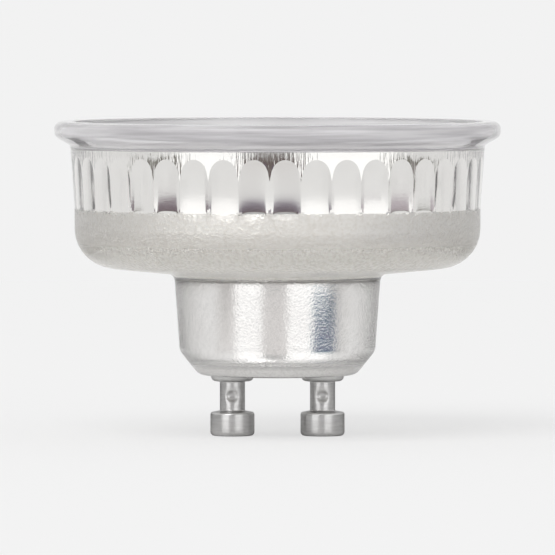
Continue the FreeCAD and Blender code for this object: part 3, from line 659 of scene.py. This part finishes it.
# low cards close by that only bare metal shows
pinCards = {
    "leftShade": (-150, -58, 0.0005, 0.011, 0.07, "shade"),
    "leftGleam": (-52, -22, 0.0005, 0.011, 0.07, "gleam"),
    "rightGleam": (14, 44, 0.0005, 0.011, 0.07, "gleam"),
    "rightShade": (54, 150, 0.0005, 0.011, 0.07, "shade"),
}


def joinValues(tree, operation, first, second):
    node = tree.nodes.new("ShaderNodeMath")
    node.operation = operation
    tree.links.new(first, node.inputs[0])
    tree.links.new(second, node.inputs[1])
    return node.outputs[0]


def shareOfRays(tree, camera, glossy, transmission):
    return joinValues(tree, "MAXIMUM", joinValues(tree, "MAXIMUM", camera, glossy), transmission)


def makeFloor():
    deselectAll()
    bpy.ops.mesh.primitive_circle_add(vertices=stage["tableSides"], radius=stage["tableRadius"],
                                      fill_type="NGON", location=(0, 0, 0))
    floor = bpy.context.object
    floor.name = "floor"
    material, tree, shader = newMaterial("tablePaper")
    shader.inputs["Base Color"].default_value = (*stage["paper"], 1)
    shader.inputs["Roughness"].default_value = 0.9
    shader.inputs["Specular IOR Level"].default_value = 0
    glow = tree.nodes.new("ShaderNodeEmission")
    glow.inputs["Color"].default_value = (*stage["paper"], 1)
    path = tree.nodes.new("ShaderNodeLightPath")

    # the pins mirror the shaded paper under the bulb
    coords = tree.nodes.new("ShaderNodeTexCoord")
    away = tree.nodes.new("ShaderNodeVectorMath")
    away.operation = "LENGTH"
    tree.links.new(coords.outputs["Object"], away.inputs[0])
    fade = tree.nodes.new("ShaderNodeMapRange")
    fade.inputs["From Min"].default_value = stage["shadeRadius"]
    fade.inputs["From Max"].default_value = 2 * stage["shadeRadius"]
    tree.links.new(away.outputs["Value"], fade.inputs["Value"])
    glossy = joinValues(tree, "MULTIPLY", path.outputs["Is Glossy Ray"], fade.outputs["Result"])

    # the camera sees part of the glow, and the bulb's shadow in the rest
    camera = tree.nodes.new("ShaderNodeMath")
    camera.operation = "MULTIPLY"
    camera.inputs[1].default_value = stage["glowShare"]
    tree.links.new(path.outputs["Is Camera Ray"], camera.inputs[0])
    share = shareOfRays(tree, camera.outputs[0], glossy, path.outputs["Is Transmission Ray"])
    mix = tree.nodes.new("ShaderNodeMixShader")
    tree.links.new(share, mix.inputs["Fac"])
    tree.links.new(shader.outputs["BSDF"], mix.inputs[1])
    tree.links.new(glow.outputs["Emission"], mix.inputs[2])
    tree.links.new(mix.outputs["Shader"], tree.nodes["Material Output"].inputs["Surface"])
    floor.data.materials.append(material)


def makeWorld():
    world = bpy.data.worlds.new("studio")
    bpy.context.scene.world = world
    world.use_nodes = True
    tree = world.node_tree
    ambient = tree.nodes["Background"]
    ambient.inputs["Color"].default_value = (1, 1, 1, 1)
    ambient.inputs["Strength"].default_value = stage["ambient"]
    backdrop = tree.nodes.new("ShaderNodeBackground")
    backdrop.inputs["Color"].default_value = (*stage["paper"], 1)
    mix = tree.nodes.new("ShaderNodeMixShader")
    rays = tree.nodes.new("ShaderNodeLightPath").outputs
    share = shareOfRays(tree, rays["Is Camera Ray"], rays["Is Glossy Ray"], rays["Is Transmission Ray"])
    tree.links.new(share, mix.inputs["Fac"])
    tree.links.new(ambient.outputs["Background"], mix.inputs[1])
    tree.links.new(backdrop.outputs["Background"], mix.inputs[2])
    tree.links.new(mix.outputs["Shader"], tree.nodes["World Output"].inputs["Surface"])


# a curved glowing card round the bulb, out of the camera's sight
def makeCard(name, fromDegrees, toDegrees, foot, top, distance, tone):
    bearing = math.radians(fromDegrees - 90)
    card = startPoint(name, (distance * math.cos(bearing), distance * math.sin(bearing), foot))
    bpy.ops.mesh.extrude_region_move(TRANSFORM_OT_translate={"value": (0, 0, top - foot)})
    bpy.ops.mesh.select_all(action="SELECT")
    width = toDegrees - fromDegrees
    bpy.ops.mesh.spin(steps=max(2, round(width / stage["cardStep"])), angle=-math.radians(width),
                      center=(0, 0, 0), axis=(0, 0, 1))
    bpy.ops.object.mode_set(mode="OBJECT")
    material, tree, shader = newMaterial(name + "Card")
    tree.nodes.remove(shader)
    glow = tree.nodes.new("ShaderNodeEmission")
    stops = tone if isinstance(tone, list) else [(foot, tone), (top, tone)]
    stops = [((height - foot) / (top - foot), cardTones[label]) for height, label in stops]
    tree.links.new(addRamp(tree, addByHeight(tree, (foot, 0), (top, 1)), stops), glow.inputs["Color"])
    tree.links.new(glow.outputs["Emission"], tree.nodes["Material Output"].inputs["Surface"])
    card.data.materials.append(material)
    card.visible_camera = False
    card.visible_shadow = False
    return card


def makeCards():
    for name, row in farCards.items():
        makeCard(name, *row)
    for name, row in neckCards.items():
        card = makeCard(name, *row)
        card.visible_glossy = False
        card.visible_diffuse = False
    for name, row in pinCards.items():
        card = makeCard(name, *row)
        card.visible_transmission = False
        card.visible_diffuse = False


def makeLamps():
    key = bpy.data.lights.new("key", "SUN")
    key.energy = stage["keyStrength"]
    key.angle = math.radians(stage["keyWidth"])
    holder = bpy.data.objects.new("key", key)
    bpy.context.scene.collection.objects.link(holder)
    tiltX, tiltY = stage["keyTilt"]
    holder.rotation_euler = (math.radians(tiltX), math.radians(tiltY), 0)


# a long lens a little above the rim
view = {"lens": 556, "sensor": 36, "distance": 0.95, "aimZ": 17.55 * mm, "eyeRise": 18.7 * mm}


def makeCamera():
    eyeZ = cadBox[1][2] + view["eyeRise"]
    camera = bpy.data.cameras.new("camera")
    camera.lens = view["lens"]
    camera.sensor_width = view["sensor"]
    holder = bpy.data.objects.new("camera", camera)
    bpy.context.scene.collection.objects.link(holder)
    holder.location = (0, -view["distance"], eyeZ)
    holder.rotation_euler = (math.pi / 2 - math.atan2(eyeZ - view["aimZ"], view["distance"]), 0, 0)
    bpy.context.scene.camera = holder


buildGlassBody(glassBody)
buildFrontGlass(frontGlass)
buildSealant(sealantBead)
satinNickel = makeNickel()
buildPin("contact_pin_left", "pinLeft", satinNickel, contactPin)
buildPin("contact_pin_right", "pinRight", satinNickel, contactPin)
finishInside()

makeFloor()
makeWorld()
makeCards()
makeLamps()
makeCamera()
cycles = bpy.context.scene.cycles  # light turns many times between the glass and its coat
cycles.max_bounces = 32
cycles.glossy_bounces = 16
cycles.transmission_bounces = 24
bpy.context.scene.view_settings.view_transform = "Standard"
print("stage done")
